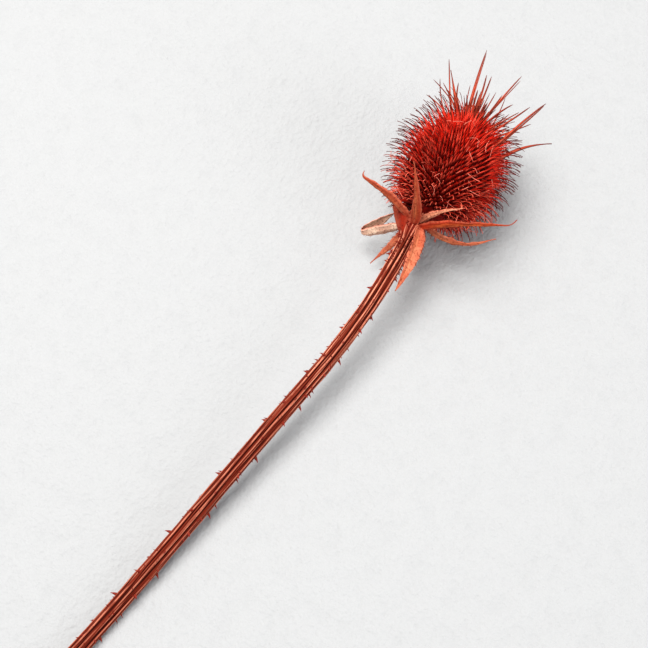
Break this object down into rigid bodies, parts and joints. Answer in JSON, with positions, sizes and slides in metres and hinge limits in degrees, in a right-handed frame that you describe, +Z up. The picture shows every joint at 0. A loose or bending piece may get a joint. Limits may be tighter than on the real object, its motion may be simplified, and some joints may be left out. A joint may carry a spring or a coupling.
{
  "type": "preserved teasel thistle head",
  "caption": "Dried red-dyed teasel thistle head, egg-shaped and bristly with a crown of long awns and ragged bracts, on its cut prickly stem, lying down.",
  "frame": {"origin": "middle of the object's box, on the surface that it lies on", "axes": "+X along the stem from the cut end towards the tuft; +Z up off the surface; +Y to the left, looking from the cut end to the tuft"},
  "size_m": [0.29, 0.0664, 0.0523],
  "materials": {
    "dyed_bristle": "dry dyed plant fibre, satin",
    "dyed_stem": "dry dyed stalk, matt with glossier ribs",
    "dry_leaf": "dry leaf, matt"
  },
  "bodies": {
    "root": {"seed_head": "dyed_bristle", "stem": "dyed_stem", "bract_front": "dry_leaf", "bract_small": "dry_leaf", "bract_reflexed": "dry_leaf", "bract_long": "dry_leaf", "bract_right": "dry_leaf", "bract_under": "dry_leaf", "bract_left_low": "dry_leaf", "bract_bent_double": "dry_leaf", "bract_left": "dry_leaf"}
  },
  "joints": []
}
